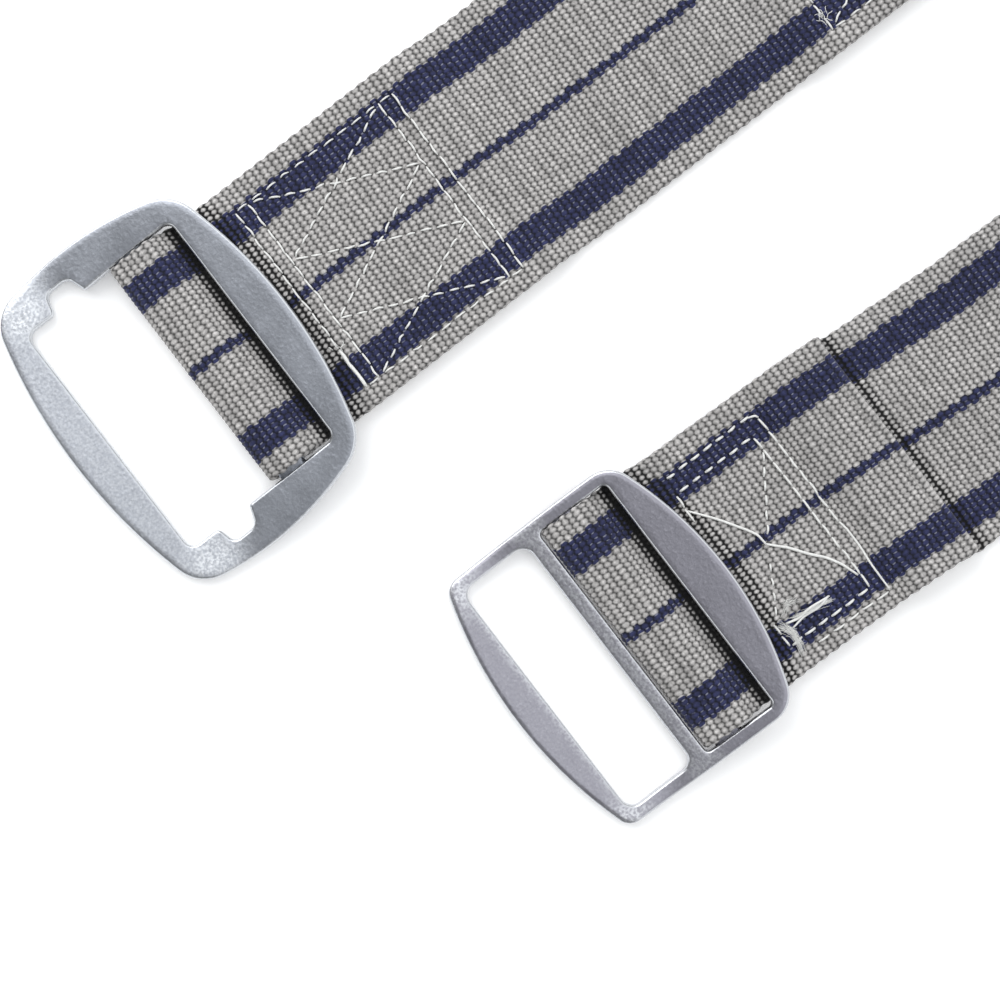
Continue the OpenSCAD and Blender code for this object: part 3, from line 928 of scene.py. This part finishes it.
def webbing_cloth():
    """Warm grey weave with navy stripes, scalloped by the weave, with painted shade in its gaps, a painted
    highlight on its floats, and painted shade where the bar or the flap lies over it.
    """
    n = Nodes("webbing_cloth")
    uv = n.tree.nodes.new("ShaderNodeUVMap")
    uv.uv_map = "cloth"
    split = n.tree.nodes.new("ShaderNodeSeparateXYZ")
    n.put(split.inputs[0], uv.outputs[0])
    s, y = n.mul(split.outputs[0], 1 / MM), n.mul(split.outputs[1], 1 / MM)
    s = n.add(s, n.mul(n.add(n.noise(330, 2.0), -0.5), 0.7))
    y = n.add(y, n.mul(n.add(n.noise(370, 2.0), -0.5), 0.8))
    half_phase = n.cos(n.mul(s, math.pi / rib))
    ribs = n.cos(n.mul(s, 2 * math.pi / rib))
    floats = n.mul(half_phase, n.cos(n.mul(y, 2 * math.pi / end_pitch)))
    height = n.add(n.mul(ribs, rib_share / 2), n.mul(floats, (1 - rib_share) / 2))
    height = n.math("SUBTRACT", 1.0, n.math("POWER", n.math("SUBTRACT", 0.5, height), fullness))
    cell = n.noise(800, 1.0)
    column = n.noise(420, 1.0, uv.outputs[0], (1, 0.03, 1))
    patch = n.noise(60, 3.0)
    fibre = n.noise(2200, 3.0)
    wander = n.mul(n.add(n.noise(430, 1.0), -0.5), 0.4)
    blocks = n.step(half_phase, -0.5, 0.5, -1.0, 1.0)
    off = n.math("ABSOLUTE", n.add(n.add(y, wander), n.mul(blocks, 0.26)))
    middle = n.step(off, 0.88, 1.02, 1.0, 0.0)
    off_band = n.math("ABSOLUTE", n.math("SUBTRACT", n.math("ABSOLUTE", y), 17.7))
    off_band = n.add(n.add(off_band, wander), n.mul(blocks, -0.24))
    side = n.step(off_band, 3.0, 3.14, 1.0, 0.0)
    navy_share = n.math("MAXIMUM", middle, side)
    shade = n.add(0.2, n.add(n.add(n.mul(cell, 0.7), n.mul(column, 0.6)), n.mul(patch, 0.30)))
    shade = n.mul(shade, n.add(0.4, n.mul(fibre, 1.2)))
    # Painted shade in the weave's gaps and a painted highlight on the tops of its floats
    depth = n.step(height, 0.47, 0.88, 0.14, 1.0)
    painted_float_highlight = n.step(height, 0.9, 1.0, 1.0, 1.3)
    shade = n.mul(shade, n.mul(depth, painted_float_highlight))
    # Painted shade where the bar or the flap lies over the cloth, deepest in the weave's gaps, on top of the
    # real shadow
    painted_shade = attribute(n, "painted_shade")
    shade = n.mul(shade, n.step(painted_shade, 0.3, 1.0, 1.0, 0.03))
    shade = n.mul(shade, n.step(n.mul(painted_shade, n.math("SUBTRACT", 1.0, height)), 0.0, 0.12, 1.0, 0.06))
    grey = n.scaled((0.375, 0.362, 0.354), shade)
    navy = n.scaled((0.0195, 0.023, 0.069), shade)
    weft = n.mul(n.step(floats, -0.5, -0.92), n.step(cell, 0.40, 0.55))
    # the weft's light dots fade out under the painted shade
    navy = n.mix(n.mul(weft, n.step(painted_shade, 0.0, 0.5, 0.65, 0.0)), navy, (0.28, 0.29, 0.36, 1))
    n.put(n.shader.inputs["Base Color"], n.mix(navy_share, grey, navy))
    n.shader.inputs["Roughness"].default_value = 0.82
    n.shader.inputs["Specular IOR Level"].default_value = 0.3
    n.shader.inputs["Sheen Weight"].default_value = 0.12
    n.shader.inputs["Sheen Roughness"].default_value = 0.5
    n.bump(n.add(n.mul(height, 0.8), n.mul(fibre, 0.3)), 0.26 * MM, 1.0)
    return n.material


def zinc_plate(name, colour):
    """Satin zinc plating: mottled, speckled and finely scratched, with a painted highlight on its rims and in
    patches where the stored highlight value is set.
    """
    n = Nodes(name)
    mottle = n.noise(140, 4.0)
    speckle = n.noise(1500, 2.0)
    scratch = n.noise(260, 3.0, stretch=(1, 14, 1))
    # Painted highlight: noisy patches where the stored highlight value is set, and the rims, which are also a
    # little smoother
    highlight_patches = n.mul(attribute(n, "painted_highlight"), n.step(n.noise(1900, 3.0), 0.34, 0.66, 0.15, 1.0))
    painted_metal_highlight = n.math("MAXIMUM", n.step(attribute(n, "rim"), 0.08, 0.4), highlight_patches)
    tone = n.add(0.86, n.add(n.mul(mottle, 0.2), n.mul(n.step(speckle, 0.55, 0.8), 0.25)))
    tone = n.mul(tone, n.step(scratch, 0.3, 0.45, 0.93, 1.0))
    base = n.scaled(colour, tone)
    n.put(n.shader.inputs["Base Color"], n.mix(n.mul(painted_metal_highlight, 0.62), base, (0.80, 0.82, 0.84, 1)))
    n.shader.inputs["Metallic"].default_value = 1.0
    rough = n.add(0.23, n.add(n.mul(mottle, 0.14), n.mul(speckle, 0.10)))
    n.put(n.shader.inputs["Roughness"], n.math("SUBTRACT", rough, n.mul(painted_metal_highlight, 0.08)))
    n.bump(n.add(n.mul(speckle, 0.5), n.mul(mottle, 0.5)), 0.12 * MM, 0.7)
    return n.material


def sewing_thread():
    """White twisted thread."""
    n = Nodes("sewing_thread")
    strands = n.noise(2400, 2.0)
    patch = n.noise(300, 1.0)
    shade = n.add(0.72, n.add(n.mul(strands, 0.35), n.mul(patch, 0.15)))
    n.put(n.shader.inputs["Base Color"], n.scaled((0.80, 0.80, 0.78), shade))
    n.shader.inputs["Roughness"].default_value = 0.6
    n.shader.inputs["Sheen Weight"].default_value = 0.2
    n.bump(strands, 0.06 * MM, 0.6)
    return n.material


webbing_material = webbing_cloth()
frame_material = zinc_plate("frame_zinc", (0.358, 0.375, 0.415))
plate_material = zinc_plate("plate_zinc", (0.300, 0.295, 0.335))
thread_material = sewing_thread()


# --- the pieces ---------------------------------------------------------------------------


def snapped(s):
    """A distance rounded to a whole rib, so that the weave's rows fall on its ribs."""
    return round(s / rib) * rib


def make_tab():
    fine, coarse = rib / 4, rib / 2
    turn = snapped(tab_path.s_at_x(frame_bar_x0 + 3))
    end = tab_path.length
    zones = [(0, turn, coarse, 1.0, 1.0), (turn, end, fine, 0.25, 1.0)]
    obj = woven_mesh("tab_webbing", zones, place_tab, [female_sewing, lap_sewing], tab_painted_shade)
    obj.data.materials.append(webbing_material)
    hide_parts("buckle_tab_webbing", "female_webbing_loop")
    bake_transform(obj)
    return obj


def make_belt():
    fine, coarse = rib / 4, rib / 2
    base = fold_x - lap_x0 + run_length - stub  # distance along the belt at which male_path starts
    at = lambda x, after=0.0: snapped(base + male_path.s_at_x(x, after))
    slope_top = at(slope_x1 + 2)
    under_flap = at(flap_end_x - 3)
    turn = at(plate_bar_x0 + 3)
    flap_end = at(flap_end_x - 2, male_turn)
    end = base + male_path.length
    zones = [
        (0, slope_top, coarse, 1.0, 1.0),
        (slope_top, under_flap, fine, 1.0, 0.25),
        (under_flap, turn, coarse, 1.0, 1.0),
        (turn, flap_end, fine, 0.25, 1.0),
        (flap_end, end, coarse, 1.0, 1.0),
    ]
    obj = woven_mesh("belt_webbing", zones, place_belt, [male_sewing], belt_painted_shade)
    obj.data.materials.append(webbing_material)
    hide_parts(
        "belt_female_leg", "belt_folded_length", "belt_male_leg", "belt_male_flap", "male_webbing_loop"
    )
    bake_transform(obj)
    return obj


def paint_highlight(obj, highlight_at):
    """Store how strong a painted highlight the plating gets at each point of a metal piece, up to about 1."""
    painted_highlight = obj.data.attributes.new("painted_highlight", "FLOAT", "POINT")
    for v, value in zip(obj.data.vertices, painted_highlight.data):
        value.value = highlight_at(v.co.x / MM, v.co.y / MM)


def make_frame():
    h, d = frame_open_w / 2, notch_depth
    x0, x1, n0, n1 = frame_open_x0, frame_open_x1, notch_x, notch_x + notch_len
    notch = [(n1, h, 0.7), (n1 - 1.4, h + d, 1.8), (n0 + 0.9, h + d, 1.8), (n0, h, 1.2)]
    upper = [(x1, h, 1.8), *notch, (x0, h, 2)]
    hole = rounded([(x, -y, r) for x, y, r in upper[::-1]] + upper)
    outer = bowed(frame_x0, frame_x1, frame_w, 3.2, 3.8, 66, 21.5, 8, 9)
    bar = (frame_bar_x0, frame_set_x, frame_slope, frame_open_w)
    obj = stamped("frame_metal", outer, [hole], frame_set_x, frame_slope, female_y + 0.2, bar, (1.5, 0.08))

    def highlight_at(x, y):
        """Painted highlight at both end corners, and a weaker one on the level end."""
        corner = 1.2 * math.exp(-((x - frame_set_x + 5) ** 2 + (abs(y - female_y) - 29.5) ** 2) / 45)
        return max(corner, 0.4 * smooth((frame_set_x - x) / 8))

    paint_highlight(obj, highlight_at)
    obj.data.materials.append(frame_material)
    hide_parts("female_frame")
    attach(obj, "female_buckle")
    return obj


def make_plate():
    def opening(x0, x1, r, h=plate_open_w / 2):
        return rounded([(x0, -h, r), (x1, -h, r), (x1, h, r), (x0, h, r)])

    holes = [opening(plate_open_x0, plate_open_x1, 2.5), opening(plate_mid_x1, plate_near_x0, 1.0)]
    outer = bowed(plate_x0, plate_x1, plate_w, 4, 4.8, 780, 25, 3.5, 6.2)
    bar = (plate_bar_x0, plate_set_x, plate_slope, plate_open_w)
    obj = stamped("plate_metal", outer, holes, plate_set_x, plate_slope, male_y + 0.5, bar, (1.2, 0.1))

    def highlight_at(x, y):
        """Painted highlight at both end corners and on the middle bar."""
        corner = math.exp(-((x - plate_x0 - 6) ** 2 + (abs(y - male_y) - 27) ** 2) / 25)
        middle = smooth((x - plate_open_x1 + 3) / 3)
        return max(corner, (0.1 + 0.6 * middle) * smooth((plate_mid_x1 + 4 - x) / 4))

    paint_highlight(obj, highlight_at)
    obj.data.materials.append(plate_material)
    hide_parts("male_plate")
    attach(obj, "male_buckle")
    return obj


# --- the studio ---------------------------------------------------------------------------


def make_camera():
    """Straight above the two ends, turned so that they run up to the right."""
    data = bpy.data.cameras.new("camera")
    cam = bpy.data.objects.new("camera", data)
    bpy.context.scene.collection.objects.link(cam)
    distance, across = 420.0, 190.0
    data.sensor_width = 36.0
    data.lens = data.sensor_width * distance / across
    data.clip_start = 0.01
    cam.location = Vector((-67.5, -8.7, distance)) * MM
    cam.rotation_euler = (0, 0, math.radians(-37.5))
    bpy.context.scene.camera = cam


def area_light(name, place, target, size, power):
    """A round soft light, with its place and target in metres."""
    data = bpy.data.lights.new(name, "AREA")
    data.shape = "DISK"
    data.size = size
    data.energy = power
    obj = bpy.data.objects.new(name, data)
    obj.location = place
    obj.rotation_mode = "QUATERNION"
    obj.rotation_quaternion = (Vector(target) - Vector(place)).to_track_quat("-Z", "Y")
    bpy.context.scene.collection.objects.link(obj)


# The tent of light: brightest overhead, a dark card to the -X side of that, and bright again low down.
# Each is how it is joined to those before, the axis, and from, to, the level before and the level after.
SKY = (
    ("MULTIPLY", "Z", (0.60, 0.98, 1.0, 1.5)),
    ("MULTIPLY", "X", (-0.34, -0.14, 0.25, 1.0)),
    ("ADD", "X", (-0.94, -0.80, 1.1, 0.0)),
)


def make_studio():
    """A pale floor that glows a little, which keeps its shadows soft, under the tent of light and one key."""
    n = Nodes("pale_floor")
    shade = n.add(0.99, n.mul(n.noise(8, 2.0), 0.02))
    n.put(n.shader.inputs["Base Color"], n.scaled((0.97, 0.97, 0.97), shade))
    n.shader.inputs["Roughness"].default_value = 0.9
    n.shader.inputs["Emission Color"].default_value = (1, 1, 1, 1)
    n.shader.inputs["Emission Strength"].default_value = 0.14
    bpy.ops.mesh.primitive_plane_add(size=6, location=(0, 0, cad_low[2] - 0.0002))
    floor = bpy.context.object
    floor.name = "floor"
    floor.data.materials.append(n.material)
    world = bpy.data.worlds.new("studio")
    bpy.context.scene.world = world
    world.use_nodes = True
    tree = world.node_tree
    split = tree.nodes.new("ShaderNodeSeparateXYZ")
    tree.links.new(tree.nodes.new("ShaderNodeTexCoord").outputs["Generated"], split.inputs[0])
    level = None
    for op, axis, ends in SKY:
        sky = tree.nodes.new("ShaderNodeMapRange")
        sky.interpolation_type = "SMOOTHSTEP"
        for socket, value in zip(list(sky.inputs)[1:5], ends):
            socket.default_value = value
        tree.links.new(split.outputs[axis], sky.inputs[0])
        both = tree.nodes.new("ShaderNodeMath")
        both.operation = op
        both.inputs[0].default_value = 1.0
        if level is not None:
            tree.links.new(level, both.inputs[0])
        tree.links.new(sky.outputs[0], both.inputs[1])
        level = both.outputs[0]
    tree.links.new(level, tree.nodes["Background"].inputs["Strength"])
    tree.nodes["Background"].inputs["Color"].default_value = (0.97, 0.985, 1.0, 1)
    area_light("key", (-0.10, 0.75, 0.65), (-0.06, 0, 0), 1.0, 5.4)
    bpy.context.scene.view_settings.view_transform = "Standard"


make_camera()
make_studio()
make_frame()
make_plate()
make_tab()
make_belt()
for sewing in (female_sewing, lap_sewing, male_sewing):
    for node in sewing.pieces:
        thread_piece(sewing, node)
